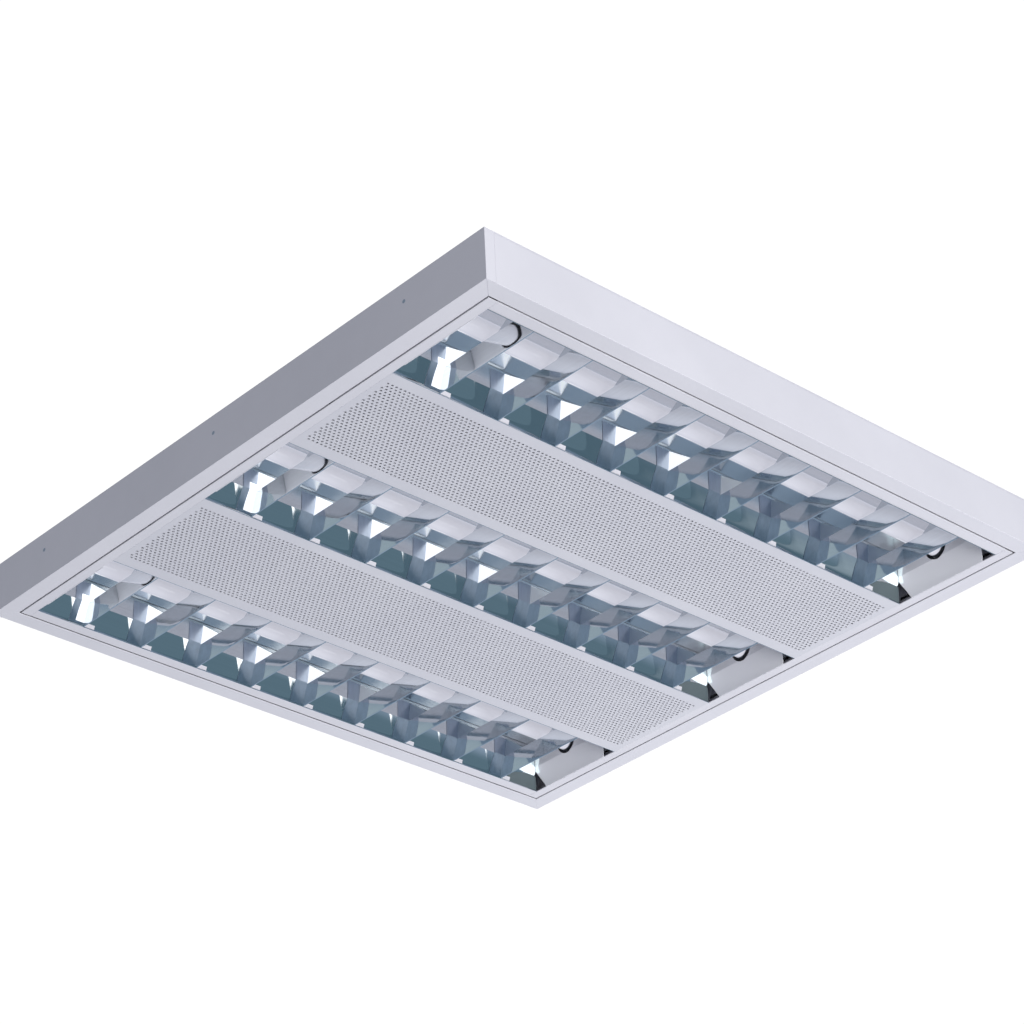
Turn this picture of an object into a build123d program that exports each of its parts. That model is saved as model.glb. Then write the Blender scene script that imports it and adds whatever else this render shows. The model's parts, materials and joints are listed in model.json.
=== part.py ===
from build123d import *
import os
from math import pi, cos, sin, radians

# Square surface mount ceiling fixture with three louvred lamp troughs.
# Millimetres. Origin at the centre of the back face (the ceiling side),
# +X along the lamps, +Y across them, +Z up into the ceiling.

os.makedirs("parts", exist_ok=True)

# ---- driving dimensions ---------------------------------------------------
W = 600.0            # outside width and length of the body
H = 44.0             # body depth below the ceiling
T = 0.8              # folded sheet thickness of the body
TB = 1.0             # back plate thickness
RIM = 15.0           # inward rim round the mouth of the body
RETURN = 9.0         # corner return of the left and right walls
GAP = 1.6            # groove between the rim and the louvre door
MOUTH_X = 274.6      # half length of a trough's mouth
MOUTH_Y = 50.9       # half width of a trough's mouth
PITCH = 221.4        # distance between lamp axes
YC = (-PITCH, 0.0, PITCH)
LAMP_Z = -16.0       # lamp axis below the ceiling
LAMP_R = 8.0         # tube radius
LAMP_L = 549.0       # tube length, face to face
PIN_R = 1.18         # lamp pin radius
PIN_L = 7.1          # lamp pin length
PIN_S = 4.75         # spacing of the two pins
REF_H = 38.1         # height of the side reflectors above the mouth
REF_K = 18.0         # height where a side reflector turns upright
REF_IN = 9.0         # how far a side reflector leans in below that height
REF_T = 0.5          # reflector sheet
BLADE_N = 9
BLADE_P = 57.5       # pitch of the cross blades
BLADE_LOW = 17.6     # blade height under the lamp
BLADE_EAR = 36.5     # blade height at its ends
EAR_Y = 25.0         # length of the raised ear along the blade
KNEE = 2.6           # half thickness of a blade at its knee
CUT_Y, CUT_Z = 38.0, 15.0  # open corners at the foot of the end plates
HX, HZ = -280.0, -40.0   # door hinge axis
HY = 110.7           # hinge and catch stations, midway between the troughs
HOLD_X = 275.0       # inner face of the lampholders
CH_X = 287.0         # lamp side leg of the holder channel
BOLT_X, BOLT_Y, BOLT_R = 240.0, 110.7, 3.0
ENTRY_X, ENTRY_Y, ENTRY_R = -110.0, 110.7, 6.0

ZB = -H              # plane of the mouth
IN = W / 2 - T       # inside face of the walls
RX = W / 2 - RIM     # inner edge of the rim
DX = RX - GAP        # outer edge of the louvre door


def bx(x0, x1, y0, y1, z0, z1):
    return Pos((x0 + x1) / 2, (y0 + y1) / 2, (z0 + z1) / 2) * Box(abs(x1 - x0), abs(y1 - y0), abs(z1 - z0))


def cz(x, y, z0, z1, r):
    return Pos(x, y, (z0 + z1) / 2) * Cylinder(r, abs(z1 - z0))


def cx(x0, x1, y, z, r):
    return Pos((x0 + x1) / 2, y, z) * Rot(0, 90, 0) * Cylinder(r, abs(x1 - x0))


def cy(y0, y1, x, z, r):
    return Pos(x, (y0 + y1) / 2, z) * Rot(90, 0, 0) * Cylinder(r, abs(y1 - y0))


def plate_xy(pts, z0, z1):
    f = make_face(Polyline(*[(x, y, z0) for x, y in pts], close=True))
    return extrude(f, amount=z1 - z0, dir=(0, 0, 1))


def prof_x(pts, x0, x1):
    """Closed outline in Y and Z, run along X."""
    f = make_face(Polyline(*[(x0, y, z) for y, z in pts], close=True))
    return extrude(f, amount=x1 - x0, dir=(1, 0, 0))


def prof_y(pts, y0, y1):
    """Closed outline in X and Z, run along Y."""
    f = make_face(Polyline(*[(x, y0, z) for x, z in pts], close=True))
    return extrude(f, amount=y1 - y0, dir=(0, 1, 0))


def out(name, *solids):
    s = []
    for o in solids:
        s += list(o.solids())
    shape = s[0] if len(s) == 1 else Compound(children=s)
    shape.label = name
    export_step(shape, "parts/" + name + ".step")


def mirror_x(s):
    return mirror(s, about=Plane.YZ)


# ---- body: back plate and four folded walls -------------------------------
back = bx(-W / 2, W / 2, -W / 2, W / 2, -TB, 0)
for sx in (-1, 1):
    for sy in (-1, 1):
        back -= cz(sx * BOLT_X, sy * BOLT_Y, -TB - 1, 1, BOLT_R)
back -= cz(ENTRY_X, ENTRY_Y, -TB - 1, 1, 9.5)
out("back_plate", back)

RIVET_Y = [y + 8 for y in YC]
RIVET_Z = -16.0


def wall_left():
    w = bx(-W / 2, -IN, -W / 2, W / 2, ZB, -TB)
    w += plate_xy([(-W / 2, -W / 2), (-RX, -RX), (-RX, RX), (-W / 2, W / 2)], ZB, ZB + T)
    for s in (-1, 1):
        w += bx(-W / 2, -W / 2 + RETURN, s * IN, s * W / 2, ZB, -TB)
    for y in RIVET_Y:
        w -= cx(-W / 2 - 1, -IN + 1, y, RIVET_Z, 1.6)
    return w


def wall_near():
    a = W / 2 - RETURN - 0.1
    w = bx(-a, a, -W / 2, -IN, ZB, -TB)
    w += plate_xy([(-IN, -IN), (-RX, -RX), (RX, -RX), (IN, -IN)], ZB, ZB + T)
    w += bx(-a + 6, a - 6, -IN, -IN + 10, -TB - T, -TB)
    return w


wl = wall_left()
wn = wall_near()
out("side_wall_left", wl)
out("side_wall_right", mirror_x(wl))
out("side_wall_near", wn)
out("side_wall_far", mirror(wn, about=Plane.XZ))

# ---- holder channels: folded channels that carry the lampholders ----------
CH_Y = 262.0
WIN_Y = -HY + 22.0   # where the lamp wires leave the channels


def channel():
    c = bx(-IN, -CH_X, -CH_Y, CH_Y, -TB - T, -TB)                # web on the back plate
    c += bx(-IN, -IN + T, -CH_Y, CH_Y, -24, -TB - T)             # leg on the wall
    c += bx(-CH_X - T, -CH_X, -CH_Y, CH_Y, -30, -TB - T)         # leg on the lamp side
    for y in RIVET_Y:
        c -= cx(-IN - 1, -IN + T + 1, y, RIVET_Z, 1.6)
    c -= bx(-CH_X - T - 1, -CH_X + 1, WIN_Y - 8, WIN_Y + 8, -24, -6)  # wire window
    for y in YC:
        c -= cx(-CH_X - T - 1, -CH_X + 1, y, LAMP_Z, 3.0)        # window behind the holder
        for s in (-1, 1):
            c -= cx(-CH_X - T - 1, -CH_X + 1, y + s * 13.5, -12, 1.6)
    for y in (-HY - 60, HY + 60):
        c -= cz(-293, y, -TB - T - 1, -TB + 0.5, 1.6)
    return c


ch = channel()
out("holder_channel_left", ch)
out("holder_channel_right", mirror_x(ch))


def rivets():
    s = []
    for y in RIVET_Y:
        b = cx(-W / 2, -IN + T, y, RIVET_Z, 1.55)
        b += cx(-IN + T, -IN + T + 0.9, y, RIVET_Z, 2.4)
        s.append(b)
        s.append(mirror_x(b))
    return s


out("wall_rivets", *rivets())

# ---- lampholders -----------------------------------------------------------
# Each holder is a moulded block with a round bore for the turning rotor, a
# slot below it that lets the lamp pins in, and two side wings for screws.
ROT_R = 6.5
ROT_D = 7.6          # depth of the rotor's bore


def holder(y):
    x0, x1 = -CH_X, -HOLD_X
    h = cx(x0, x1, y, LAMP_Z, 11.0)
    h += bx(x0, x1, y - 11, y + 11, LAMP_Z, -4.0)
    h += bx(x0, x0 + 3.0, y - 17.5, y + 17.5, -17.0, -5.0)
    h -= cx(x1 - ROT_D, x1 + 1, y, LAMP_Z, ROT_R + 0.05)
    h -= bx(x1 - ROT_D, x1 + 1, y - 1.7, y + 1.7, LAMP_Z - 12, LAMP_Z)
    for s in (-1, 1):
        h -= cx(x0 - 1, x0 + 4, y + s * 13.5, -12, 1.6)
    return h


for i, y in enumerate(YC):
    hl = holder(y)
    out("lampholder_%d_left" % (i + 1), hl)
    out("lampholder_%d_right" % (i + 1), mirror_x(hl))


def xscrew(x0, x1, y, z, dirn):
    """Small pan head screw along X: head at x0, shank towards x1."""
    s = cx(x0, x1, y, z, 1.5)
    h = cx(x0, x0 - dirn * 1.3, y, z, 2.4)
    h -= bx(min(x0 - dirn * 1.4, x0 - dirn * 0.7), max(x0 - dirn * 1.4, x0 - dirn * 0.7), y - 2.8, y + 2.8, z - 0.35, z + 0.35)
    return s + h


hs = []
for y in YC:
    for s in (-1, 1):
        a = xscrew(-CH_X + 3.0, -CH_X - T - 1.6, y + s * 13.5, -12, -1)
        hs += [a, mirror_x(a)]
out("lampholder_screws", *hs)

# ---- top reflectors over the lamps ----------------------------------------
# Flat mirror sheets, fixed under the back plate between the holders.
TR_X = 272.0
for i, y in enumerate(YC):
    p = [(y - 46, -5.6), (y + 46, -5.6), (y + 46, -5.0), (y + 5, -5.0), (y + 5, -TB), (y - 5, -TB), (y - 5, -5.0), (y - 46, -5.0)]
    t = prof_x(p, -TR_X, TR_X)
    t -= bx(-TR_X - 1, -150, y - 5.1, y + 5.1, -5.0, 0)
    t -= bx(-130, 130, y - 5.1, y + 5.1, -5.0, 0)
    t -= bx(150, TR_X + 1, y - 5.1, y + 5.1, -5.0, 0)
    out("top_reflector_%d" % (i + 1), t)

# ---- control gear over the first infill panel ------------------------------
BAL_Y = -HY
bal = bx(-140, 140, BAL_Y - 15, BAL_Y + 15, -21.0, -TB - T)
for s in (-1, 1):
    bal += bx(s * 140, s * 158, BAL_Y - 15, BAL_Y + 15, -TB - T, -TB)
bal += bx(-140, 140, BAL_Y - 15, BAL_Y + 15, -TB - T, -TB)
for s in (-1, 1):
    bal -= cz(s * 153, BAL_Y, -3, 0, 1.9)
bal = fillet(bal.edges().filter_by(Axis.X).filter_by_position(Axis.Z, -21.5, -20.5), 1.0)
out("ballast_case", bal)
con = []
for s in (-1, 1):
    c = bx(s * 140, s * 148, BAL_Y - 13, BAL_Y + 13, -15.0, -TB - T)
    for k in range(5):
        yy = BAL_Y - 10 + 5 * k
        c -= cx(s * 143, s * 149, yy, -10.0, 1.25)
    con.append(c)
out("ballast_connectors", *con)


def zscrew(x, y, ztop, zface, r=1.5, hr=2.9):
    """Pan head screw from below: head under zface, shank up to ztop."""
    s = cz(x, y, zface, ztop, r)
    h = cz(x, y, zface - 1.5, zface, hr)
    h -= bx(x - 3, x + 3, y - 0.4, y + 0.4, zface - 1.6, zface - 0.8)
    return s + h


# ---- supply terminal, earth and cable entry over the second panel ----------
TBY = HY
term = bx(-72, -40, TBY - 9, TBY + 9, -16.0, -TB)
for k in range(3):
    xx = -66 + 10 * k
    term -= cy(TBY - 10, TBY + 10, xx, -8.0, 1.6)
    term -= cz(xx, TBY + 4.5, -17, -8.0, 1.9)
    term -= cz(xx, TBY - 4.5, -17, -8.0, 1.9)
out("terminal_block", term)
ts = []
for k in range(3):
    xx = -66 + 10 * k
    for s in (-1, 1):
        q = cz(xx, TBY + s * 4.5, -14.5, -9.7, 1.8)
        q -= bx(xx - 1.4, xx + 1.4, TBY + s * 4.5 - 0.3, TBY + s * 4.5 + 0.3, -14.6, -13.8)
        ts.append(q)
out("terminal_screws", *ts)

earth = cz(-20, TBY, -9.0, -TB, 2.0)
earth += Pos(-20, TBY, -3.6) * extrude(RegularPolygon(3.6, 6), amount=2.6)
out("earth_stud", earth)

gr = cz(ENTRY_X, ENTRY_Y, -6.0, 0, 9.4) + cz(ENTRY_X, ENTRY_Y, -3.0, -TB, 12.0)
gr -= cz(ENTRY_X, ENTRY_Y, -7.0, 1.0, ENTRY_R)
out("cable_grommet", gr)

clamp = bx(-92, -84, TBY - 13, TBY + 13, -3.0, -TB)
clamp += bx(-92, -84, TBY - 7.2, TBY - 5.2, -8.0, -3.0) + bx(-92, -84, TBY + 5.2, TBY + 7.2, -8.0, -3.0)
clamp += bx(-92, -84, TBY - 7.2, TBY + 7.2, -9.5, -8.0)
for s in (-1, 1):
    clamp -= cz(-88, TBY + s * 10.2, -4, 0, 1.6)
out("cable_clamp", clamp)

# ---- inside wiring ----------------------------------------------------------
def wire(pts, r, rad=4.0):
    path = FilletPolyline(*pts, radius=rad)
    return sweep(Plane(origin=path @ 0, z_dir=path % 0) * Circle(r), path=path)


ww = []
for i, y in enumerate(YC):
    z = -10.0 - 4.0 * i
    yb = WIN_Y - 3.5 + 3.5 * i
    xo = -290.6 - 2.2 * i
    ww.append(wire([(-287.9, y, LAMP_Z), (xo, y, LAMP_Z), (xo, y + (6 if y < yb else -6), z), (xo, yb, z), (-270 + 6 * i, yb, z), (-215 - 6 * i, BAL_Y - 5 + 5 * i, -10.0), (-148.3, BAL_Y - 5 + 5 * i, -10.0)], 0.95, 1.5))
wr = [mirror_x(w) for w in ww]
out("lamp_wiring", *ww, *wr)

sw = []
for k in range(3):
    xx = -66 + 10 * k
    # over the middle top reflector, close under the back plate
    sw.append(wire([(148.3, BAL_Y + 10, -10.0), (156.0 + 3 * k, BAL_Y + 10, -10.0), (156.0 + 3 * k, BAL_Y + 24, -2.4), (156.0 + 3 * k, 60 + 4 * k, -2.4), (xx, 60 + 4 * k, -2.4), (xx, TBY - 24, -8.0), (xx, TBY - 9.2, -8.0)], 0.9, 1.5) if k == 0 else
              wire([(156.0 + 3 * k, BAL_Y + 30, -2.4), (156.0 + 3 * k, 60 + 4 * k, -2.4), (xx, 60 + 4 * k, -2.4), (xx, TBY - 24, -8.0), (xx, TBY - 9.2, -8.0)], 0.9, 1.5))
out("supply_wiring", *sw)

# ---- hinge brackets, catch clips --------------------------------------------
hb = []
for s in (-1, 1):
    y = s * HY
    b = bx(HX - 2.8, HX + 2.8, y - 1.0, y + 1.0, HZ, -TB)
    b += cy(y - 1.0, y + 1.0, HX, HZ, 2.8)
    b += bx(HX - 2.8, HX + 12.0, y - 1.0, y + 9.0, -TB - T, -TB)
    b -= cy(y - 2, y + 2, HX, HZ, 1.3)
    b -= cz(HX + 8.0, y + 5.0, -TB - T - 1, -TB + 1, 1.6)
    hb.append(b)
out("hinge_brackets", *hb)

CX_ = 279.0          # catch station
cc = []
for s in (-1, 1):
    y = s * HY
    c = bx(CX_ - 3.5, CX_ + 3.5, y - 3.3, y + 3.3, -TB - 0.5, -TB)
    for q in (-1, 1):
        c += bx(CX_ - 3.5, CX_ + 3.5, y + q * 2.7, y + q * 3.3, -36.5, -TB - 0.5)
    c += bx(CX_ - 11.0, CX_ - 3.5, y - 3.3, y + 3.3, -TB - 0.5, -TB)
    c -= cz(CX_ - 7.5, y, -3, 0, 1.6)
    cc.append(c)
out("catch_clips", *cc)

ps = []
for s in (-1, 1):
    ps.append(zscrew(HX + 8.0, s * HY + 5.0, -TB, -TB - T))
    ps.append(zscrew(CX_ - 7.5, s * HY, -TB, -TB - 0.5))
    ps.append(zscrew(s * 153, BAL_Y, -TB, -TB - T))
    for y in (-HY - 60, HY + 60):
        ps.append(zscrew(s * 293, y, -TB, -TB - T))
for s in (-1, 1):
    ps.append(zscrew(-88, TBY + s * 10.2, -TB, -3.0, 1.5, 2.6))
out("pan_screws", *ps)

# ---- lamps -------------------------------------------------------------------
for i, y in enumerate(YC):
    n = i + 1
    g = LAMP_L / 2 - 8.5
    tube = cx(-g, g, y, LAMP_Z, LAMP_R) - cx(-g - 1, g + 1, y, LAMP_Z, LAMP_R - 0.7)
    out("lamp_%d_tube" % n, tube)
    caps, pins, rots = [], [], []
    for s in (-1, 1):
        f = s * LAMP_L / 2
        # cap: skirt over the end of the glass, closed by a disc
        c = cx(f - s * 11.0, f, y, LAMP_Z, LAMP_R + 0.25) - cx(f - s * 12.0, f - s * 1.2, y, LAMP_Z, LAMP_R + 0.03)
        for q in (-1, 1):
            c -= cx(f - s * 2, f + s * 1, y + q * PIN_S / 2, LAMP_Z, PIN_R + 0.02)
        caps.append(c)
        for q in (-1, 1):
            pins.append(cx(f - s * 3.0, f + s * PIN_L, y + q * PIN_S / 2, LAMP_Z, PIN_R))
        r = cx(s * (HOLD_X + 0.2), s * (HOLD_X + ROT_D - 0.1), y, LAMP_Z, ROT_R)
        for q in (-1, 1):
            r -= cx(s * HOLD_X, s * (HOLD_X + PIN_L + 0.1), y + q * PIN_S / 2, LAMP_Z, PIN_R + 0.05)
        rots.append(r)
    out("lamp_%d_end_caps" % n, *caps)
    out("lamp_%d_pins" % n, *pins)
    out("lamp_%d_rotors" % n, *rots)

# ---- louvre door: frame rails --------------------------------------------------
LIP = 8.0            # height of the rails' upstand


def rail_left():
    r = bx(-DX, -MOUTH_X - 0.1, -DX, DX, ZB, ZB + T)
    r += bx(-DX, -DX + T, -DX, DX, ZB, ZB + LIP)
    for s in (-1, 1):
        y = s * HY
        r -= bx(-DX - 1, -DX + T + 0.2, y - 2.2, y + 2.2, ZB + T, ZB + LIP + 1)
        for q in (-1, 1):
            l = bx(-DX + T, HX + 2.6, y + q * 2.4, y + q * 3.6, ZB + T, HZ + 2.6)
            l -= cy(y + q * 1, y + q * 5, HX, HZ, 1.25)
            r += l
    return r


out("door_rail_left", rail_left())
rr = bx(MOUTH_X + 0.1, DX, -DX, DX, ZB, ZB + T) + bx(DX - T, DX, -DX, DX, ZB, ZB + LIP)
for s in (-1, 1):
    rr -= cz(CX_, s * HY, ZB + 0.3, ZB + T + 1, 1.2)
out("door_rail_right", rr)

out("hinge_pins", *[cy(s * HY - 4.4, s * HY + 4.4, HX, HZ, 1.24) for s in (-1, 1)])

studs = []
for s in (-1, 1):
    st = cz(CX_, s * HY, ZB + 0.35, ZB + T, 1.15) + cz(CX_, s * HY, ZB + T, -34.0, 1.5)
    st += Pos(CX_, s * HY, -33.5) * Cone(1.4, 2.45, 1.6) + Pos(CX_, s * HY, -31.5) * Cone(2.45, 0.9, 2.4)
    studs.append(st)
out("catch_studs", *studs)

# near and far rails between the end rails
a = MOUTH_X + 0.05
ye = PITCH + MOUTH_Y + REF_T + 0.1
rn = bx(-a, a, -DX, -ye, ZB, ZB + T) + bx(-a, a, -DX, -DX + T, ZB, ZB + LIP)
rn += bx(-a, a, -ye - T, -ye, ZB, ZB + 6)
out("door_rail_near", rn)
out("door_rail_far", mirror(rn, about=Plane.XZ))

# ---- perforated infill panels: folded trays ------------------------------------
for i, yc in enumerate((-PITCH / 2, PITCH / 2)):
    hw = PITCH / 2 - MOUTH_Y - REF_T - 0.1
    p = bx(-a, a, yc - hw, yc + hw, ZB, ZB + T)
    for s in (-1, 1):
        p += bx(-a, a, yc + s * hw, yc + s * (hw - T), ZB, ZB + 6)
    out("perforated_panel_%d" % (i + 1), p)

# ---- trough reflectors ------------------------------------------------------------
def ref_in(z):
    """Inward lean at height z: curved up to REF_K, upright above it."""
    if z <= REF_K:
        return REF_IN * (z / REF_K) ** 1.3
    return REF_IN + 0.8 * (z - REF_K) / (REF_H - REF_K)


def side_reflector(yc, s):
    zs = [REF_K * k / 6 for k in range(7)] + [REF_H]
    inner = [(yc + s * (MOUTH_Y - ref_in(z)), ZB + z) for z in zs]
    outer = [(yc + s * (MOUTH_Y + REF_T - ref_in(z)), ZB + z) for z in zs]
    return prof_x(inner + outer[::-1], -MOUTH_X, MOUTH_X)


for i, y in enumerate(YC):
    out("trough_%d_reflector_near" % (i + 1), side_reflector(y, -1))
    out("trough_%d_reflector_far" % (i + 1), side_reflector(y, 1))


# ---- cross blades: V section up to the knee, raised ears at the ends that taper again --
def blade(x, yc):
    g = 0.15
    yb = MOUTH_Y - g
    def e(z):
        return MOUTH_Y - g - ref_in(z)
    zz = [REF_K * k / 6 for k in range(7)] + [BLADE_EAR]
    right = [(yc + e(z), ZB + z) for z in zz]
    left = [(yc - e(z), ZB + z) for z in reversed(zz)]
    ye = e(REF_K) - EAR_Y
    top = [(yc + ye, ZB + BLADE_LOW), (yc - ye, ZB + BLADE_LOW)]
    body = prof_x(right + top + left, x - KNEE - 0.1, x + KNEE + 0.1)
    wedge = prof_y([(x - 0.5, ZB), (x + 0.5, ZB), (x + KNEE, ZB + BLADE_LOW), (x + 0.5, ZB + BLADE_EAR + 0.5),
                    (x - 0.5, ZB + BLADE_EAR + 0.5), (x - KNEE, ZB + BLADE_LOW)], yc - 60, yc + 60)
    return body & wedge


for i, y in enumerate(YC):
    out("trough_%d_cross_blades" % (i + 1), *[blade((k - (BLADE_N - 1) / 2) * BLADE_P, y) for k in range(BLADE_N)])


# ---- trough end plates: they lean in like the sides, U notch for the lamp -------------
def end_plate(yc, s):
    g = 0.15
    zz = [REF_K * k / 6 for k in range(7)] + [REF_H]
    xo = MOUTH_X - 0.1
    outer = [(s * (xo - ref_in(z)), ZB + z) for z in zz]
    inner = [(s * (xo - REF_T - ref_in(z)), ZB + z) for z in zz]
    strip = prof_y(outer + inner[::-1], yc - 60, yc + 60)
    edge = [(CUT_Y, ZB)] + [(MOUTH_Y - g - ref_in(z), ZB + z) for z in (CUT_Z, REF_K, REF_H)]
    right = [(yc + q, z) for q, z in edge]
    left = [(yc - q, z) for q, z in reversed(edge)]
    x0, x1 = min(s * 262, s * 276), max(s * 262, s * 276)
    slot = cx(x0 - 3, x1 + 3, yc, LAMP_Z, 11.0) + bx(x0 - 3, x1 + 3, yc - 11, yc + 11, LAMP_Z, 9)
    return strip & (prof_x(right + left, x0, x1) - slot)


out("trough_end_plates", *[end_plate(y, s) for y in YC for s in (-1, 1)])
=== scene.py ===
import bpy, bmesh, json, math, random
from mathutils import Vector, Matrix


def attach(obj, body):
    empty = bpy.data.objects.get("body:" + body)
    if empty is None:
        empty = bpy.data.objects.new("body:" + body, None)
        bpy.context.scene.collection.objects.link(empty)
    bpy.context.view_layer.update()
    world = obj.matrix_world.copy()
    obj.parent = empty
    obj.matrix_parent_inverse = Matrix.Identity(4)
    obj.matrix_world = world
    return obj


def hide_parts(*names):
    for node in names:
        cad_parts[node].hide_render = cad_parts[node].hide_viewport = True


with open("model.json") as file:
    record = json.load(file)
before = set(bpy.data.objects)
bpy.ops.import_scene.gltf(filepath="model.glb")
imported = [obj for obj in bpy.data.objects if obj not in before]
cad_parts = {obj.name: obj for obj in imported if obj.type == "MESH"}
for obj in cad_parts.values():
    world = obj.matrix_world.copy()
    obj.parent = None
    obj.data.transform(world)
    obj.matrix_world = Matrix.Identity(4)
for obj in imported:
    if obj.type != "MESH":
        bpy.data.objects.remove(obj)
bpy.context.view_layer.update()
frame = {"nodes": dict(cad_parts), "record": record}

NODES = frame["nodes"]
MM = 0.001

# ---------------------------------------------------------------- dimensions
W, H, T, TB = 600.0, 44.0, 0.8, 1.0
RIM, RETURN, GAP = 15.0, 9.0, 1.6
MOUTH_X, MOUTH_Y, PITCH = 274.6, 50.9, 221.4
YC = (-PITCH, 0.0, PITCH)
LAMP_Z, LAMP_R, LAMP_L = -16.0, 8.0, 549.0
PIN_R, PIN_L, PIN_S = 1.18, 7.1, 4.75
REF_H, REF_K, REF_IN, REF_T = 38.1, 18.0, 9.0, 0.5
BLADE_N, BLADE_P, BLADE_LOW, BLADE_EAR, EAR_Y = 9, 57.5, 17.6, 36.5, 25.0
KNEE, CUT_Y, CUT_Z = 2.6, 38.0, 15.0
ZB = -H
IN = W / 2 - T
RX = W / 2 - RIM
DX = RX - GAP


# ------------------------------------------------------------------- helpers
def srgb(r, g, b):
    def f(c):
        c /= 255.0
        return c / 12.92 if c <= 0.04045 else ((c + 0.055) / 1.055) ** 2.4
    return (f(r), f(g), f(b), 1.0)


def new_mat(name):
    m = bpy.data.materials.new(name)
    m.use_nodes = True
    nt = m.node_tree
    bsdf = nt.nodes["Principled BSDF"]
    return m, nt, bsdf


def node(nt, kind, **kw):
    n = nt.nodes.new(kind)
    for k, v in kw.items():
        setattr(n, k, v)
    return n


def obj_coords(nt, scale=(1, 1, 1), rot=(0, 0, 0)):
    tc = node(nt, "ShaderNodeTexCoord")
    mp = node(nt, "ShaderNodeMapping")
    mp.inputs["Scale"].default_value = scale
    mp.inputs["Rotation"].default_value = rot
    nt.links.new(tc.outputs["Object"], mp.inputs["Vector"])
    return mp.outputs["Vector"]


def noise(nt, vec, scale, detail=3.0, rough=0.55):
    n = node(nt, "ShaderNodeTexNoise")
    n.inputs["Scale"].default_value = scale
    n.inputs["Detail"].default_value = detail
    n.inputs["Roughness"].default_value = rough
    nt.links.new(vec, n.inputs["Vector"])
    return n


def ramp(nt, fac, stops):
    r = node(nt, "ShaderNodeValToRGB")
    els = r.color_ramp.elements
    while len(els) < len(stops):
        els.new(0.5)
    for e, (p, c) in zip(els, stops):
        e.position = p
        e.color = c
    nt.links.new(fac, r.inputs["Fac"])
    return r


def bump(nt, bsdf, height, strength, dist):
    b = node(nt, "ShaderNodeBump")
    b.inputs["Strength"].default_value = strength
    b.inputs["Distance"].default_value = dist
    nt.links.new(height, b.inputs["Height"])
    nt.links.new(b.outputs["Normal"], bsdf.inputs["Normal"])
    return b


# ----------------------------------------------------------------- materials
def powder_coat(name, lo, hi, rough=0.42, grain=0.05):
    """White powder coat: fine orange peel, faint mottling, slightly uneven gloss."""
    m, nt, b = new_mat(name)
    v = obj_coords(nt)
    big = noise(nt, v, 9.0, 4.0, 0.6)
    r = ramp(nt, big.outputs["Fac"], [(0.35, lo), (0.65, hi)])
    nt.links.new(r.outputs["Color"], b.inputs["Base Color"])
    peel = noise(nt, v, 900.0, 2.0, 0.5)
    bump(nt, b, peel.outputs["Fac"], grain, 0.0004)
    rr = node(nt, "ShaderNodeMapRange")
    rr.inputs["To Min"].default_value = rough - 0.05
    rr.inputs["To Max"].default_value = rough + 0.06
    nt.links.new(big.outputs["Fac"], rr.inputs["Value"])
    nt.links.new(rr.outputs["Result"], b.inputs["Roughness"])
    return m


def mirror_sheet(name, col, rough=0.04, streak=0.03, axis="x"):
    """Bright anodised aluminium: metallic, with faint rolling streaks along one way."""
    m, nt, b = new_mat(name)
    b.inputs["Metallic"].default_value = 1.0
    sc = (6, 900, 900) if axis == "x" else (900, 6, 900)
    v = obj_coords(nt, scale=sc)
    n = noise(nt, v, 1.0, 3.0, 0.6)
    r = ramp(nt, n.outputs["Fac"], [(0.3, tuple(c * 0.95 for c in col[:3]) + (1,)), (0.7, col)])
    nt.links.new(r.outputs["Color"], b.inputs["Base Color"])
    rr = node(nt, "ShaderNodeMapRange")
    rr.inputs["To Min"].default_value = rough
    rr.inputs["To Max"].default_value = rough + streak
    nt.links.new(n.outputs["Fac"], rr.inputs["Value"])
    nt.links.new(rr.outputs["Result"], b.inputs["Roughness"])
    v2 = obj_coords(nt)
    wav = noise(nt, v2, 14.0, 2.0, 0.5)
    bump(nt, b, wav.outputs["Fac"], 0.12, 0.0012)
    return m


def plastic(name, col, rough=0.4, mott=0.03, coat=0.0):
    m, nt, b = new_mat(name)
    v = obj_coords(nt)
    n = noise(nt, v, 60.0, 3.0, 0.5)
    lo = tuple(c * (1 - mott) for c in col[:3]) + (1,)
    r = ramp(nt, n.outputs["Fac"], [(0.3, lo), (0.7, col)])
    nt.links.new(r.outputs["Color"], b.inputs["Base Color"])
    b.inputs["Roughness"].default_value = rough
    b.inputs["Coat Weight"].default_value = coat
    g = noise(nt, v, 700.0, 2.0, 0.5)
    bump(nt, b, g.outputs["Fac"], 0.04, 0.0003)
    return m


def metal(name, col, rough=0.3, streak=0.1, scale=(900, 900, 30), metallic=1.0):
    m, nt, b = new_mat(name)
    b.inputs["Metallic"].default_value = metallic
    v = obj_coords(nt, scale=scale)
    n = noise(nt, v, 1.0, 3.0, 0.6)
    r = ramp(nt, n.outputs["Fac"], [(0.3, tuple(c * 0.86 for c in col[:3]) + (1,)), (0.7, col)])
    nt.links.new(r.outputs["Color"], b.inputs["Base Color"])
    rr = node(nt, "ShaderNodeMapRange")
    rr.inputs["To Min"].default_value = rough
    rr.inputs["To Max"].default_value = rough + streak
    nt.links.new(n.outputs["Fac"], rr.inputs["Value"])
    nt.links.new(rr.outputs["Result"], b.inputs["Roughness"])
    return m


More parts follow.
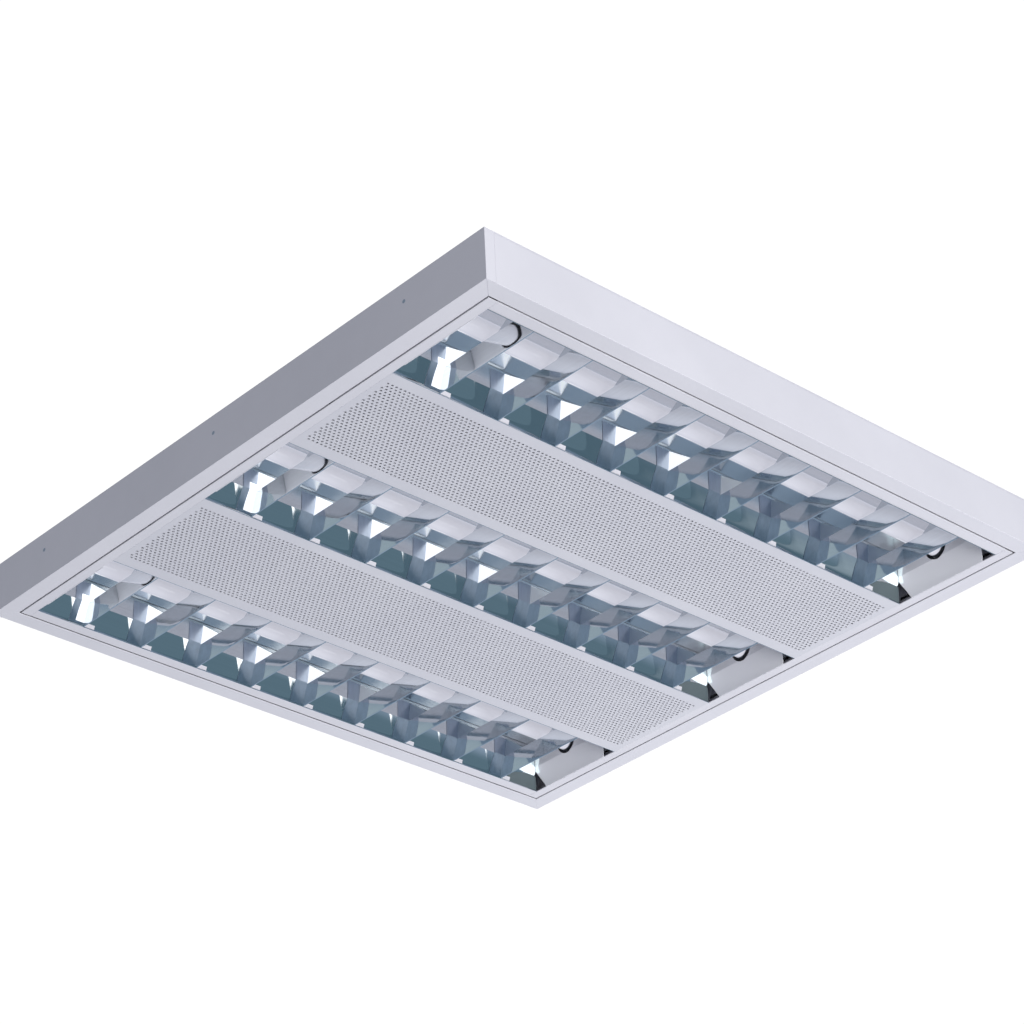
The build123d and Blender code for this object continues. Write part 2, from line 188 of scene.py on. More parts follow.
WHITE = powder_coat("white_powder_coat", srgb(225, 224, 231), srgb(230, 229, 236))
WHITE_PANEL = powder_coat("panel_powder_coat", srgb(217, 217, 225), srgb(222, 222, 229))
# the end plates' white is made lighter than the walls' white: painted light against the shade they sit in
WHITE_END_LIGHTENED = powder_coat("end_plate_paint_lightened_for_shade", srgb(247, 247, 254), srgb(250, 250, 255))
WHITE_IN = powder_coat("white_inside", srgb(208, 209, 213), srgb(216, 217, 220), rough=0.5)
MIRROR = mirror_sheet("mirror_aluminium", srgb(230, 233, 235), rough=0.03, streak=0.02)
MIRROR_BLADE = mirror_sheet("mirror_blade", srgb(226, 230, 233), rough=0.04, streak=0.03, axis="y")
SATIN = mirror_sheet("mirror_satin_top", srgb(226, 229, 232), rough=0.2, streak=0.05)
GLASS = plastic("lamp_glass", srgb(150, 150, 154), rough=0.16, mott=0.01, coat=0.6)
# painted light: the unlit tube glows by emission over a greyer base colour, so the shaded side of a tube stays light
_g = GLASS.node_tree.nodes["Principled BSDF"]
_g.inputs["Emission Color"].default_value = srgb(218, 218, 230)
_g.inputs["Emission Strength"].default_value = 0.68
# painted highlight on the ears: they glow by emission that dies away towards the right end of a trough
EAR, _nt, _b = new_mat("ear_painted_highlight")
_b.inputs["Metallic"].default_value = 0.6
_b.inputs["Roughness"].default_value = 0.3
_b.inputs["Base Color"].default_value = srgb(196, 208, 220)
_b.inputs["Emission Color"].default_value = (1.0, 1.0, 1.0, 1.0)
_tc = node(_nt, "ShaderNodeTexCoord")
_sx = node(_nt, "ShaderNodeSeparateXYZ")
_nt.links.new(_tc.outputs["Object"], _sx.inputs[0])
_mr = node(_nt, "ShaderNodeMapRange", interpolation_type="SMOOTHSTEP")
_mr.inputs["From Min"].default_value = 0.085
_mr.inputs["From Max"].default_value = -0.02
_mr.inputs["To Min"].default_value = 0.0
_mr.inputs["To Max"].default_value = 0.95
_nt.links.new(_sx.outputs["X"], _mr.inputs["Value"])
_nt.links.new(_mr.outputs["Result"], _b.inputs["Emission Strength"])
FLANGE = metal("satin_aluminium", srgb(196, 206, 220), rough=0.34, streak=0.06, scale=(300, 300, 40))
CAP = metal("lamp_cap_aluminium", srgb(205, 206, 208), rough=0.34)
PIN = metal("pin_brass", srgb(206, 188, 140), rough=0.28)
HOLDER = plastic("holder_plastic", srgb(232, 232, 228), rough=0.32)
ROTOR = plastic("rotor_plastic", srgb(222, 222, 216), rough=0.3)
ZINC = metal("zinc_steel", srgb(186, 189, 194), rough=0.36)
SPRING = metal("spring_steel", srgb(160, 164, 170), rough=0.25)
GEAR = metal("gear_case", srgb(214, 216, 218), rough=0.42, metallic=0.35)
TERM = plastic("terminal_plastic", srgb(226, 226, 220), rough=0.5)
RUBBER = plastic("grommet_rubber", srgb(38, 38, 40), rough=0.75)
WIRE = plastic("wire_white", srgb(218, 218, 214), rough=0.45)

BODY_OF = {n: b for b, ns in frame["record"]["behaviour"]["bodies"].items() for n in ns}


def dress(n, mat):
    o = NODES[n]
    if not o.material_slots:
        o.data.materials.append(mat)
    for s in o.material_slots:
        s.material = mat


def smooth_by_angle(me, deg=32.0):
    me.polygons.foreach_set("use_smooth", [True] * len(me.polygons))
    bm = bmesh.new()
    bm.from_mesh(me)
    lim = math.radians(deg)
    for e in bm.edges:
        if len(e.link_faces) == 2 and e.calc_face_angle(0.0) > lim:
            e.smooth = False
    bm.to_mesh(me)
    bm.free()


def add_piece(name, me, n, mat, replace=True, deg=32.0):
    """Put a mesh (metres, row frame) in the scene as the look of node n."""
    o = bpy.data.objects.new(name, me)
    bpy.context.scene.collection.objects.link(o)
    me.materials.clear()
    me.materials.append(mat)
    smooth_by_angle(me, deg)
    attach(o, BODY_OF[n])
    if replace:
        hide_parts(n)
    return o


def mesh_mm(name, verts, faces):
    me = bpy.data.meshes.new(name)
    me.from_pydata([(x * MM, y * MM, z * MM) for x, y, z in verts], [], faces)
    me.validate()
    bm = bmesh.new()
    bm.from_mesh(me)
    bmesh.ops.remove_doubles(bm, verts=bm.verts, dist=1e-6)
    bmesh.ops.recalc_face_normals(bm, faces=bm.faces)
    bm.to_mesh(me)
    bm.free()
    return me


def rounded(n, mat, width=0.4, seg=2, ang=35.0):
    """A copy of a folded or moulded node with small radii on its edges."""
    src = NODES[n]
    bm = bmesh.new()
    bm.from_mesh(src.data)
    bmesh.ops.remove_doubles(bm, verts=bm.verts, dist=2e-6)
    bmesh.ops.dissolve_limit(bm, angle_limit=math.radians(0.8), verts=bm.verts, edges=bm.edges)
    lim = math.radians(ang)
    es = [e for e in bm.edges if len(e.link_faces) == 2 and e.calc_face_angle(0.0) > lim]
    bmesh.ops.bevel(bm, geom=es, offset=width * MM, segments=seg, profile=0.5, affect="EDGES", clamp_overlap=True)
    bmesh.ops.recalc_face_normals(bm, faces=bm.faces)
    me = bpy.data.meshes.new(n + "_look")
    bm.to_mesh(me)
    bm.free()
    return add_piece(n + "_look", me, n, mat, deg=12.0)


# ------------------------------------------------- nodes that keep their shape
KEEP = {
    "wall_rivets": ZINC, "lampholder_screws": ZINC, "pan_screws": ZINC, "hinge_pins": ZINC, "catch_studs": ZINC,
    "hinge_brackets": ZINC, "earth_stud": ZINC, "terminal_screws": ZINC, "catch_clips": SPRING,
    "ballast_connectors": TERM, "terminal_block": TERM, "cable_clamp": TERM, "cable_grommet": RUBBER,
    "lamp_wiring": WIRE, "supply_wiring": WIRE, "holder_channel_left": ZINC, "holder_channel_right": ZINC,
    "ballast_case": GEAR, "back_plate": WHITE,
}
for i in (1, 2, 3):
    KEEP["lampholder_%d_left" % i] = HOLDER
    KEEP["lampholder_%d_right" % i] = HOLDER
    KEEP["lamp_%d_rotors" % i] = ROTOR
    KEEP["lamp_%d_tube" % i] = GLASS
    KEEP["lamp_%d_end_caps" % i] = CAP
    KEEP["lamp_%d_pins" % i] = PIN
    KEEP["top_reflector_%d" % i] = SATIN
for n, m in KEEP.items():
    dress(n, m)

# ------------------------------------------------ folded sheets with small radii
for n in ("side_wall_left", "side_wall_right", "side_wall_near", "side_wall_far"):
    rounded(n, WHITE, 0.38, 2)
for n in ("door_rail_left", "door_rail_right", "door_rail_near", "door_rail_far"):
    rounded(n, WHITE, 0.38, 2)


# --------------------------------------------------------------- side reflectors
def ref_in(z):
    if z <= REF_K:
        return REF_IN * (z / REF_K) ** 1.3
    return REF_IN + 0.8 * (z - REF_K) / (REF_H - REF_K)


def ref_slope(z):
    h = 0.05
    return (ref_in(z + h) - ref_in(max(z - h, 0))) / (z + h - max(z - h, 0))


def side_reflector(name, yc, s):
    """Curved mirror sheet, square-edged at the mouth."""
    zs = [0.0, 0.35, 0.9, 1.6] + [2.5 + (REF_K - 2.5) * k / 13 for k in range(14)] + [19.0, 20.5, 23.0, 27.0, 32.0, REF_H]
    inner, outer = [], []
    for z in zs:
        a = math.atan(ref_slope(z))
        y = MOUTH_Y - ref_in(z)
        inner.append((y, z))
        outer.append((y + REF_T * math.cos(a), z + REF_T * math.sin(a) * 0.0))
    loop = inner + outer[::-1]
    xs = [-MOUTH_X, MOUTH_X]
    verts, faces = [], []
    for x in xs:
        for y, z in loop:
            verts.append((x, yc + s * y, ZB + z))
    n = len(loop)
    for k in range(n):
        k2 = (k + 1) % n
        faces.append((k, k2, n + k2, n + k))
    m = len(inner)
    for b in (0, n):
        for k in range(m - 1):
            faces.append((b + k, b + k + 1, b + n - 2 - k, b + n - 1 - k))
    return mesh_mm(name, verts, faces)


for i, y in enumerate(YC):
    for s, w in ((-1, "near"), (1, "far")):
        n = "trough_%d_reflector_%s" % (i + 1, w)
        add_piece(n + "_look", side_reflector(n, y, s), n, MIRROR, deg=30.0)


# ------------------------------------------------------------------ cross blades
def blade_mesh(xb, yc, verts, faces):
    """V section blade: rounded nose at the mouth, knee, and ears that taper to a thin top edge."""
    g = 0.15
    NR = 0.5
    low = [(0.0, 0.0)] + [(NR * math.sin(a), NR - NR * math.cos(a)) for a in [math.pi / 2 * k / 4 for k in range(1, 5)]]
    for k in range(1, 7):
        z = NR + (BLADE_LOW - 0.7 - NR) * k / 6
        low.append((NR + (KNEE - NR) * (z - NR) / (BLADE_LOW - NR), z))
    low.append((KNEE, BLADE_LOW))
    def wall(z):
        return MOUTH_Y - g - ref_in(z)
    yk = wall(REF_K) - EAR_Y
    u0 = yk / wall(BLADE_LOW)
    us = [-1 + (1 - u0) * k / 6 for k in range(7)]
    us = us + [-u0 + 2 * u0 * k / 6 for k in range(1, 6)] + [-u for u in reversed(us)]
    base = len(verts)
    def zt(u):
        f = min(max((abs(u) - u0) / (1 - u0), 0.0), 1.0)
        return BLADE_LOW + (BLADE_EAR - BLADE_LOW) * f
    VN = 6
    idx = {}
    def v(key, p):
        if key not in idx:
            idx[key] = len(verts)
            verts.append(p)
        return idx[key]
    def low_v(side, j, k):
        h, z = low[k]
        if k == 0:
            side = 0
        y = us[j] * wall(z)
        return v(("l", side, j, k), (xb + side * h, yc + y, ZB + z))
    K = len(low) - 1
    def top_v(side, j, m):
        if m == 0:
            return low_v(side, j, K)
        u = us[j]
        z = BLADE_LOW + (zt(u) - BLADE_LOW) * m / VN
        h = KNEE + (NR - KNEE) * (z - BLADE_LOW) / (BLADE_EAR + 0.5 - BLADE_LOW)
        yy = u * wall(BLADE_LOW) if abs(u) < 1 else math.copysign(wall(z), u)
        if abs(u) < 1:
            yy = u * wall(z)
        return v(("t", side, j, m), (xb + side * h, yc + yy, ZB + z))
    n = len(us)
    ear = [abs(u) > u0 + 1e-6 for u in us]
    for side in (-1, 1):
        for j in range(n - 1):
            for k in range(K):
                q = [low_v(side, j, k), low_v(side, j + 1, k), low_v(side, j + 1, k + 1), low_v(side, j, k + 1)]
                faces.append(q)
            if ear[j] or ear[j + 1]:
                for m in range(VN):
                    q = []
                    for (a, b) in ((j, m), (j + 1, m), (j + 1, m + 1), (j, m + 1)):
                        w = top_v(side, a, b) if ear[a] else low_v(side, a, K)
                        if w not in q:
                            q.append(w)
                    if len(q) >= 3:
                        faces.append(q)
    for j in range(n - 1):
        a = [top_v(-1, j, VN) if ear[j] else low_v(-1, j, K), top_v(-1, j + 1, VN) if ear[j + 1] else low_v(-1, j + 1, K),
             top_v(1, j + 1, VN) if ear[j + 1] else low_v(1, j + 1, K), top_v(1, j, VN) if ear[j] else low_v(1, j, K)]
        faces.append(a)
    for j in (0, n - 1):
        for k in range(1, K):
            faces.append([low_v(-1, j, k), low_v(1, j, k), low_v(1, j, k + 1), low_v(-1, j, k + 1)])
        faces.append([low_v(-1, j, 0), low_v(1, j, 1), low_v(-1, j, 1)])
        for m in range(VN):
            faces.append([top_v(-1, j, m), top_v(1, j, m), top_v(1, j, m + 1), top_v(-1, j, m + 1)])


for i, y in enumerate(YC):
    n = "trough_%d_cross_blades" % (i + 1)
    verts, faces = [], []
    for k in range(BLADE_N):
        blade_mesh((k - (BLADE_N - 1) / 2) * BLADE_P, y, verts, faces)
    add_piece(n + "_look", mesh_mm(n, verts, faces), n, MIRROR_BLADE, deg=4.5)


# The ends of each blade are folded into flanges that lie on the side reflectors.
def flange(xa, xb, z_lo, z_hi, yc, s, verts, faces, t=0.3, off=0.16):
    zs = [z_lo + (z_hi - z_lo) * k / 12 for k in range(13)]
    base = len(verts)
    for x in (xa, xb):
        for d in (off, off + t):
            for z in zs:
                verts.append((x, yc + s * (MOUTH_Y - d - ref_in(z)), ZB + z))
    n = len(zs)
    for k in range(n - 1):
        for a, b in ((0, 2), (1, 3)):
            faces.append([base + a * n + k, base + b * n + k, base + b * n + k + 1, base + a * n + k + 1])
        for a, b in ((0, 1), (2, 3)):
            faces.append([base + a * n + k, base + b * n + k, base + b * n + k + 1, base + a * n + k + 1])
    for k in (0, n - 1):
        faces.append([base + k, base + n + k, base + 3 * n + k, base + 2 * n + k])


for i, y in enumerate(YC):
    n = "trough_%d_cross_blades" % (i + 1)
    verts, faces, tv, tf = [], [], [], []
    for k in range(BLADE_N):
        xb = (k - (BLADE_N - 1) / 2) * BLADE_P
        for s in (-1, 1):
            flange(xb - 15.0, xb + 0.2, 1.2, 35.5, y, s, verts, faces)
            flange(xb + 0.6, xb + 10.0, 0.5, 3.6, y, s, tv, tf)
    add_piece("trough_%d_blade_flanges" % (i + 1), mesh_mm(n + "_fl", verts, faces), n, FLANGE, replace=False, deg=20.0)
    add_piece("trough_%d_blade_feet" % (i + 1), mesh_mm(n + "_ft", tv, tf), n, WHITE, replace=False, deg=20.0)
    # thin sheets on the ears' left faces that carry the painted highlight
    ev, ef = [], []
    wl, wh = MOUTH_Y - 0.25 - ref_in(BLADE_LOW), MOUTH_Y - 0.25 - ref_in(BLADE_EAR)
    yk = MOUTH_Y - 0.15 - ref_in(REF_K) - EAR_Y
    for k in range(BLADE_N):
        xb = (k - (BLADE_N - 1) / 2) * BLADE_P
        def hx(z):
            return xb - (KNEE + (0.5 - KNEE) * (z - BLADE_LOW) / (BLADE_EAR + 0.5 - BLADE_LOW))
        tri = [(yk + 0.8, BLADE_LOW + 0.15), (wl, BLADE_LOW + 0.15), (wh, BLADE_EAR - 0.5)]
        b0 = len(ev)
        for d in (0.05, 0.13):
            for yy, z in tri:
                ev.append((hx(z) - d, y + yy, ZB + z))
        ef += [(b0, b0 + 1, b0 + 2), (b0 + 5, b0 + 4, b0 + 3)]
        ef += [(b0 + a, b0 + b, b0 + 3 + b, b0 + 3 + a) for a, b in ((0, 1), (1, 2), (2, 0))]
    # the first blade's flange at the far side carries the same painted highlight
    flange(-4 * BLADE_P - 9.0, -4 * BLADE_P - 0.6, 3.0, 24.0, y, 1, ev, ef, t=0.08, off=0.5)
    add_piece("trough_%d_ear_facings" % (i + 1), mesh_mm(n + "_ea", ev, ef), n, EAR, replace=False, deg=20.0)


# -------------------------------------------------------------------- end plates
rounded("trough_end_plates", WHITE_END_LIGHTENED, 0.12, 1, 50.0)


# Each end plate at the right end has a small glowing tab lying on the far side reflector over its open corner: a
# painted highlight.
# A dark strip on the foot of that reflector beside the corner is painted shade.
def skin(levels, at, verts, faces, t=0.1):
    """Thin closed sheet through rows of (height, start, end); at gives its two surfaces' points."""
    base, n = len(verts), len(levels)
    for d in (0.0, t):
        for z, a, b in levels:
            verts.extend((at(a, z, d), at(b, z, d)))
    def v(side, k, e):
        return base + side * 2 * n + 2 * k + e
    for k in range(n - 1):
        faces.append([v(0, k, 0), v(0, k, 1), v(0, k + 1, 1), v(0, k + 1, 0)])
        faces.append([v(1, k, 0), v(1, k + 1, 0), v(1, k + 1, 1), v(1, k, 1)])
        for e in (0, 1):
            faces.append([v(0, k, e), v(0, k + 1, e), v(1, k + 1, e), v(1, k, e)])
    for k in (0, n - 1):
        faces.append([v(0, k, 0), v(0, k, 1), v(1, k, 1), v(1, k, 0)])


# painted highlight: the corner tab glows by emission
CORNER_HIGHLIGHT = plastic("corner_painted_highlight", srgb(222, 230, 234), rough=0.45)
CORNER_HIGHLIGHT_BSDF = CORNER_HIGHLIGHT.node_tree.nodes["Principled BSDF"]
CORNER_HIGHLIGHT_BSDF.inputs["Emission Color"].default_value = srgb(222, 238, 242)
CORNER_HIGHLIGHT_BSDF.inputs["Emission Strength"].default_value = 0.6
# painted shade: a dark sheet on the reflector's foot, standing in for the dark reflection of the open corner
CORNER_SHADE = plastic("corner_painted_shade", srgb(100, 112, 116), rough=0.6)
ON_WALL = [(11.7, 256.0, 266.6), (12.5, 247.8, 267.0), (15.0, 250.6, 266.5), (17.0, 252.8, 265.3),
           (18.2, 254.2, 264.6), (20.0, 256.2, 261.6), (21.8, 258.0, 258.9)]
ON_PLATE = [(13.0, 39.4, 41.9), (15.0, 38.9, 43.2), (18.0, 37.9, 41.4), (22.0, 36.6, 41.2), (25.0, 35.6, 40.8),
            (26.6, 38.8, 40.6)]
FOOT = [(0.4, 240.0, 273.0), (3.0, 236.5, 272.6), (6.0, 238.0, 271.4), (9.0, 242.5, 269.8), (10.6, 250.0, 268.8),
        (11.4, 258.0, 268.2)]
for i, y in enumerate(YC):
    def on_wall(x, z, d, y=y):
        return (x, y + MOUTH_Y - 0.16 - d - ref_in(z), ZB + z)
    def on_plate(q, z, d, y=y):
        return (MOUTH_X - 0.66 - d - ref_in(z), y + q, ZB + z)
    verts, faces, sv, sf = [], [], [], []
    skin(ON_WALL, on_wall, verts, faces)
    skin(ON_PLATE, on_plate, verts, faces)
    skin(FOOT, on_wall, sv, sf)
    n = "trough_end_plates"
    add_piece("trough_%d_corner_tab" % (i + 1), mesh_mm("corner_tab_%d" % (i + 1), verts, faces), n, CORNER_HIGHLIGHT, replace=False, deg=20.0)
    add_piece("trough_%d_corner_strip" % (i + 1), mesh_mm("corner_strip_%d" % (i + 1), sv, sf), n, CORNER_SHADE, replace=False, deg=20.0)


# --------------------------------------------------------- perforated infill panels
def panel_mesh(name, yc):
    """Folded tray with staggered round holes through its face."""
    hw = PITCH / 2 - MOUTH_Y - REF_T - 0.1
    ax = MOUTH_X + 0.05
    px, py, r = 4.0, 3.464, 1.18
    nx, ny = 135, 28
    verts, faces = [], []
    vm = {}
    def v(x, y, z):
        key = (round(x * 200), round(y * 200), round(z * 200))
        if key not in vm:
            vm[key] = len(verts)
            verts.append((x, y, z))
        return vm[key]
    z0, z1 = ZB, ZB + T
    x_lo = -nx * px / 2
    y_lo = yc - ny * py / 2
    NS = 8
    ring = [(math.cos(2 * math.pi * (k + 0.5) / NS), math.sin(2 * math.pi * (k + 0.5) / NS)) for k in range(NS)]
    # cell outline in the order of the ring: corners at the diagonals
    for b in range(ny):
        off = px / 2 if b % 2 else 0.0
        cnt = nx - 1 if b % 2 else nx
        ya, yb_ = y_lo + b * py, y_lo + (b + 1) * py
        ym = (ya + yb_) / 2
        for a in range(cnt):
            xa = x_lo + off + a * px
            xb = xa + px
            xm = (xa + xb) / 2
            # outline points: right-middle pair etc. (corner, edge midpoints)
            out8 = [(xb, ym), (xb, yb_), (xm, yb_), (xa, yb_), (xa, ym), (xa, ya), (xm, ya), (xb, ya)]
            hole = [(xm + r * math.cos(math.pi / 4 * k), ym + r * math.sin(math.pi / 4 * k)) for k in range(8)]
            for z, flip in ((z0, False), (z1, True)):
                for k in range(8):
                    k2 = (k + 1) % 8
                    q = [v(*hole[k], z), v(*out8[k], z), v(*out8[k2], z), v(*hole[k2], z)]
                    faces.append(q[::-1] if flip else q)
            for k in range(8):
                k2 = (k + 1) % 8
                faces.append([v(*hole[k], z0), v(*hole[k2], z0), v(*hole[k2], z1), v(*hole[k], z1)])
        if b % 2:
            # half cells at the two ends of a short row
            for xs_ in ((x_lo, x_lo + px / 2), (x_lo + nx * px - px / 2, x_lo + nx * px)):
                for z, flip in ((z0, False), (z1, True)):
                    pts = [(xs_[0], ya), (xs_[1], ya), (xs_[1], ym), (xs_[1], yb_), (xs_[0], yb_), (xs_[0], ym)]
                    q = [v(*p, z) for p in pts]
                    faces.append(q if not flip else q[::-1])
    # solid margins round the field, matched to the field's edge points
    x_hi, y_hi = -x_lo, y_lo + ny * py
    def strip(pts_in, pts_out, z, flip):
        q = [v(*p, z) for p in pts_in] + [v(*p, z) for p in reversed(pts_out)]
        faces.append(q if not flip else q[::-1])
    yl, yh = yc - hw, yc + hw
    xe = [x_lo + px / 2 * k for k in range(2 * nx + 1)]
    ye = [y_lo + py / 2 * k for k in range(2 * ny + 1)]
    for z, flip in ((z0, False), (z1, True)):
        for k in range(2 * nx):
            strip([(xe[k], y_lo), (xe[k + 1], y_lo)], [(xe[k], yl), (xe[k + 1], yl)], z, not flip)
            strip([(xe[k], y_hi), (xe[k + 1], y_hi)], [(xe[k], yh), (xe[k + 1], yh)], z, flip)
        for k in range(2 * ny):
            strip([(x_lo, ye[k]), (x_lo, ye[k + 1])], [(-ax, ye[k]), (-ax, ye[k + 1])], z, flip)
            strip([(x_hi, ye[k]), (x_hi, ye[k + 1])], [(ax, ye[k]), (ax, ye[k + 1])], z, not flip)
        for sx in (-1, 1):
            for sy, yi, yo in ((-1, y_lo, yl), (1, y_hi, yh)):
                xi = x_lo if sx < 0 else x_hi
                q = [v(xi, yi, z), v(sx * ax, yi, z), v(sx * ax, yo, z), v(xi, yo, z)]
                faces.append(q)
    # outer edges and the two long lips
    xr = [-ax] + xe + [ax]
    yr = [yl] + ye + [yh]
    for k in range(len(yr) - 1):
        for x in (-ax, ax):
            faces.append([v(x, yr[k], z0), v(x, yr[k + 1], z0), v(x, yr[k + 1], z1), v(x, yr[k], z1)])
    for s, yo in ((-1, yl), (1, yh)):
        for k in range(len(xr) - 1):
            faces.append([v(xr[k], yo, z0), v(xr[k + 1], yo, z0), v(xr[k + 1], yo, z1), v(xr[k], yo, z1)])
    me = mesh_mm(name, verts, faces)
    # the lips, a thin folded flange along each long side
    bm = bmesh.new()
    bm.from_mesh(me)
    for s in (-1, 1):
        yo = yc + s * hw
        yi = yo - s * T
        prof = [(yo, z1), (yo, ZB + 5.7), (yo - s * 0.3, ZB + 6.0), (yi + s * 0.3, ZB + 6.0), (yi, ZB + 5.7), (yi, z1)]
        vv = [[bm.verts.new((x * MM, y * MM, z * MM)) for y, z in prof] for x in (-ax, ax)]
        for k in range(len(prof) - 1):
            bm.faces.new([vv[0][k], vv[0][k + 1], vv[1][k + 1], vv[1][k]])
        bm.faces.new(vv[0])
        bm.faces.new(vv[1])
    bmesh.ops.recalc_face_normals(bm, faces=bm.faces)
    bm.to_mesh(me)
    bm.free()
    return me


for i, yc in enumerate((-PITCH / 2, PITCH / 2)):
    n = "perforated_panel_%d" % (i + 1)
    add_piece(n + "_look", panel_mesh(n, yc), n, WHITE_PANEL, deg=50.0)

# -------------------------------------------------------------------- camera
cam_d = bpy.data.cameras.new("camera")
cam_d.sensor_width = 36.0
cam_d.sensor_fit = "HORIZONTAL"
cam_d.lens = 3048.985 / 1024.0 * 36.0
cam_d.clip_start, cam_d.clip_end = 0.05, 100.0
cam = bpy.data.objects.new("camera", cam_d)
bpy.context.scene.collection.objects.link(cam)
right = Vector((0.73957, -0.67178, -0.04171)).normalized()
fwd = Vector((0.59172, 0.61940, 0.51596)).normalized()
down = fwd.cross(right).normalized()
right = down.cross(fwd).normalized()
pos = Vector((-1.9606 * 0.6 - 0.3, -2.0757 * 0.6 - 0.3, -2.0341 * 0.6 - 0.044))
up = -down
cam.matrix_world = Matrix(((right.x, up.x, -fwd.x, pos.x), (right.y, up.y, -fwd.y, pos.y), (right.z, up.z, -fwd.z, pos.z), (0, 0, 0, 1)))
bpy.context.scene.camera = cam


# --------------------------------------------------------------------- stage
def area(name, loc, target, size, power, col=(1, 1, 1)):
    d = bpy.data.lights.new(name, "AREA")
    d.shape = "SQUARE"
    d.size = size
    d.energy = power
    d.color = col
    o = bpy.data.objects.new(name, d)
    bpy.context.scene.collection.objects.link(o)
    o.location = loc
    o.rotation_euler = (Vector(target) - Vector(loc)).to_track_quat("-Z", "Y").to_euler()
    o.visible_glossy = False
    o.visible_camera = False
    return o


key = area("softbox_key", (-0.3, -3.0, -1.2), (0, 0, 0), 1.6, 70)
fill = area("softbox_below", (1.0, 0.4, -1.3), (0.1, 0, 0), 1.0, 12)

fm, fnt, fb = new_mat("floor_pale")
fv = obj_coords(fnt)
fn = noise(fnt, fv, 1.5, 3.0)
fr = ramp(fnt, fn.outputs["Fac"], [(0.3, srgb(226, 227, 230)), (0.7, srgb(233, 234, 236))])
fnt.links.new(fr.outputs["Color"], fb.inputs["Base Color"])
fb.inputs["Roughness"].default_value = 0.85
me = bpy.data.meshes.new("floor")
s = 14.0
me.from_pydata([(-s, -s, -3.0), (s, -s, -3.0), (s, s, -3.0), (-s, s, -3.0)], [], [(0, 1, 2, 3)])
floor = bpy.data.objects.new("floor", me)
bpy.context.scene.collection.objects.link(floor)
floor.data.materials.append(fm)
floor.visible_glossy = False

# The room that the mirror sheets show: soft areas of light and shade by direction.
wd = bpy.data.worlds.new("studio")
bpy.context.scene.world = wd
wd.use_nodes = True
wnt = wd.node_tree
for n in list(wnt.nodes):
    wnt.nodes.remove(n)
wout = node(wnt, "ShaderNodeOutputWorld")
lp = node(wnt, "ShaderNodeLightPath")
tcw = node(wnt, "ShaderNodeTexCoord")


def lobe(col_in, direction, inner, outer, col, gain=1.0):
    """Mix a colour into the room within a cone of directions (degrees)."""
    d = Vector(direction).normalized()
    dot = node(wnt, "ShaderNodeVectorMath", operation="DOT_PRODUCT")
    dot.inputs[1].default_value = d
    wnt.links.new(tcw.outputs["Generated"], dot.inputs[0])
    mr = node(wnt, "ShaderNodeMapRange", interpolation_type="SMOOTHSTEP")
    mr.inputs["From Min"].default_value = math.cos(math.radians(outer))
    mr.inputs["From Max"].default_value = math.cos(math.radians(inner))
    wnt.links.new(dot.outputs["Value"], mr.inputs["Value"])
    mx = node(wnt, "ShaderNodeMix", data_type="RGBA")
    c = tuple(v * gain for v in col[:3]) + (1,)
    wnt.links.new(mr.outputs["Result"], mx.inputs[0])
    if isinstance(col_in, tuple):
        mx.inputs[6].default_value = col_in
    else:
        wnt.links.new(col_in, mx.inputs[6])
    mx.inputs[7].default_value = c
    return mx.outputs[2]


sep = node(wnt, "ShaderNodeSeparateXYZ")
wnt.links.new(tcw.outputs["Generated"], sep.inputs[0])


def ratio(num, den):
    m = node(wnt, "ShaderNodeMath", operation="DIVIDE")
    wnt.links.new(sep.outputs[num], m.inputs[0])
    wnt.links.new(sep.outputs[den], m.inputs[1])
    return m.outputs[0]


def step(val, lo, hi):
    """0 at lo, 1 at hi, smooth between (lo may be above hi)."""
    mr = node(wnt, "ShaderNodeMapRange", interpolation_type="SMOOTHSTEP")
    mr.inputs["From Min"].default_value = lo
    mr.inputs["From Max"].default_value = hi
    wnt.links.new(val, mr.inputs["Value"])
    return mr.outputs["Result"]


def product(*vals):
    out = vals[0]
    for v in vals[1:]:
        m = node(wnt, "ShaderNodeMath", operation="MULTIPLY")
        wnt.links.new(out, m.inputs[0])
        wnt.links.new(v, m.inputs[1])
        out = m.outputs[0]
    return out


def tint(col_in, fac, col, gain=1.0):
    mx = node(wnt, "ShaderNodeMix", data_type="RGBA")
    wnt.links.new(fac, mx.inputs[0])
    if isinstance(col_in, tuple):
        mx.inputs[6].default_value = col_in
    else:
        wnt.links.new(col_in, mx.inputs[6])
    mx.inputs[7].default_value = tuple(v * gain for v in col[:3]) + (1,)
    return mx.outputs[2]


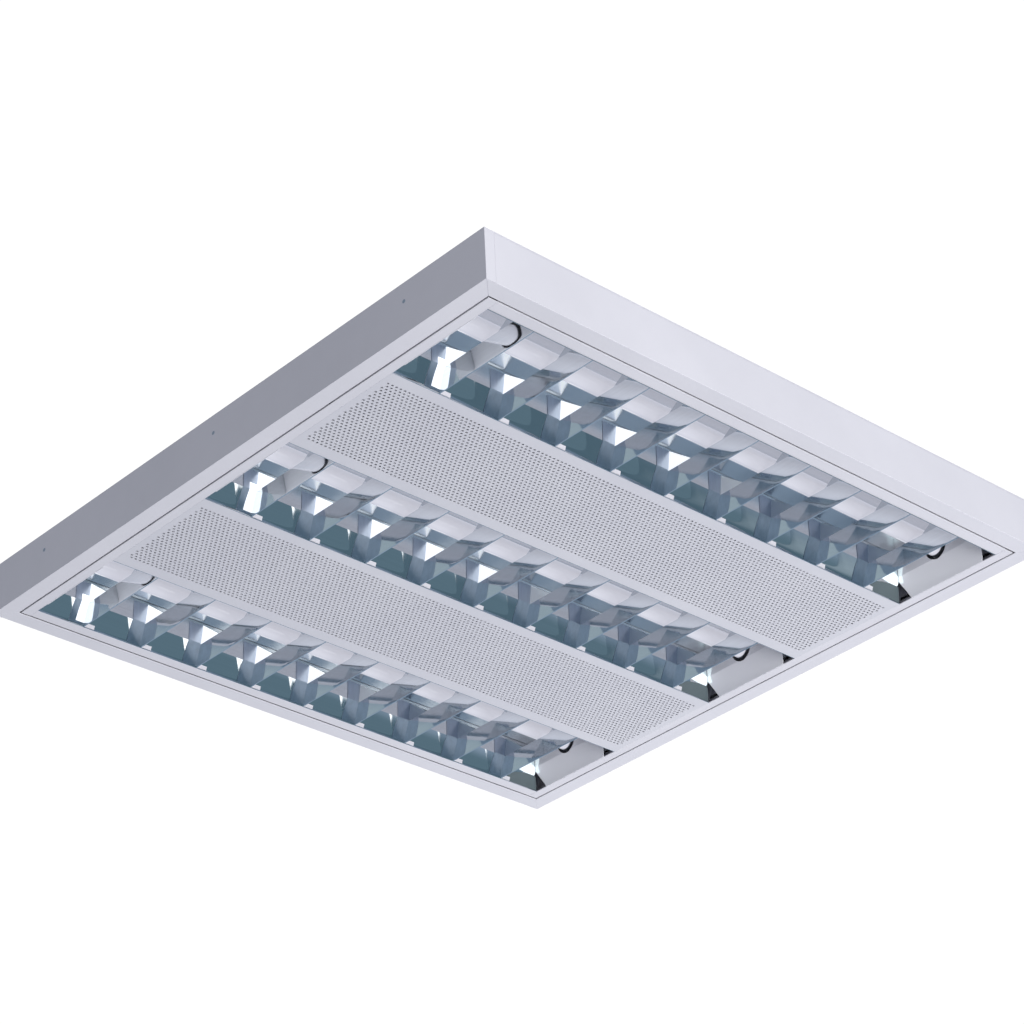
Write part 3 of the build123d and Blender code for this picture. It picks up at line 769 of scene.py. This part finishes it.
# even blue-grey walls, darker green-grey low down on the near side, a light patch low
# on the left, and a bright panel low on the near left
env = srgb(146, 165, 186)
env = tint(env, step(sep.outputs["Y"], -0.665, -0.74), srgb(96, 121, 135))
env = lobe(env, (-0.72, -0.61, -0.33), 6, 14, srgb(178, 194, 203))
xz, yz = ratio("X", "Z"), ratio("Y", "Z")
card = product(step(xz, 0.50, 0.60), step(xz, 0.85, 0.77), step(yz, 0.93, 1.0), step(sep.outputs["Z"], 0.0, -0.1))
env = tint(env, card, (1.0, 1.0, 1.0), 2.4)

bg_cam = node(wnt, "ShaderNodeBackground")
bg_cam.inputs["Color"].default_value = (1, 1, 1, 1)
bg_cam.inputs["Strength"].default_value = 1.05
bg_dif = node(wnt, "ShaderNodeBackground")
bg_dif.inputs["Color"].default_value = (0.90, 0.92, 1.0, 1)
bg_dif.inputs["Strength"].default_value = 0.39
bg_gl = node(wnt, "ShaderNodeBackground")
wnt.links.new(env, bg_gl.inputs["Color"])
bg_gl.inputs["Strength"].default_value = 1.0
# glossy rays that no matt surface has scattered see the room; all others see even light
isd = node(wnt, "ShaderNodeMath", operation="LESS_THAN")
wnt.links.new(lp.outputs["Diffuse Depth"], isd.inputs[0])
isd.inputs[1].default_value = 0.5
gl = node(wnt, "ShaderNodeMath", operation="MULTIPLY")
wnt.links.new(lp.outputs["Is Glossy Ray"], gl.inputs[0])
wnt.links.new(isd.outputs[0], gl.inputs[1])
m1 = node(wnt, "ShaderNodeMixShader")
m2 = node(wnt, "ShaderNodeMixShader")
wnt.links.new(gl.outputs[0], m1.inputs["Fac"])
wnt.links.new(bg_dif.outputs[0], m1.inputs[1])
wnt.links.new(bg_gl.outputs[0], m1.inputs[2])
wnt.links.new(lp.outputs["Is Camera Ray"], m2.inputs["Fac"])
wnt.links.new(m1.outputs[0], m2.inputs[1])
wnt.links.new(bg_cam.outputs[0], m2.inputs[2])
wnt.links.new(m2.outputs[0], wout.inputs["Surface"])

sc = bpy.context.scene
sc.view_settings.view_transform = "Standard"
sc.view_settings.look = "None"
sc.cycles.max_bounces = 24
sc.cycles.glossy_bounces = 16
sc.cycles.diffuse_bounces = 6
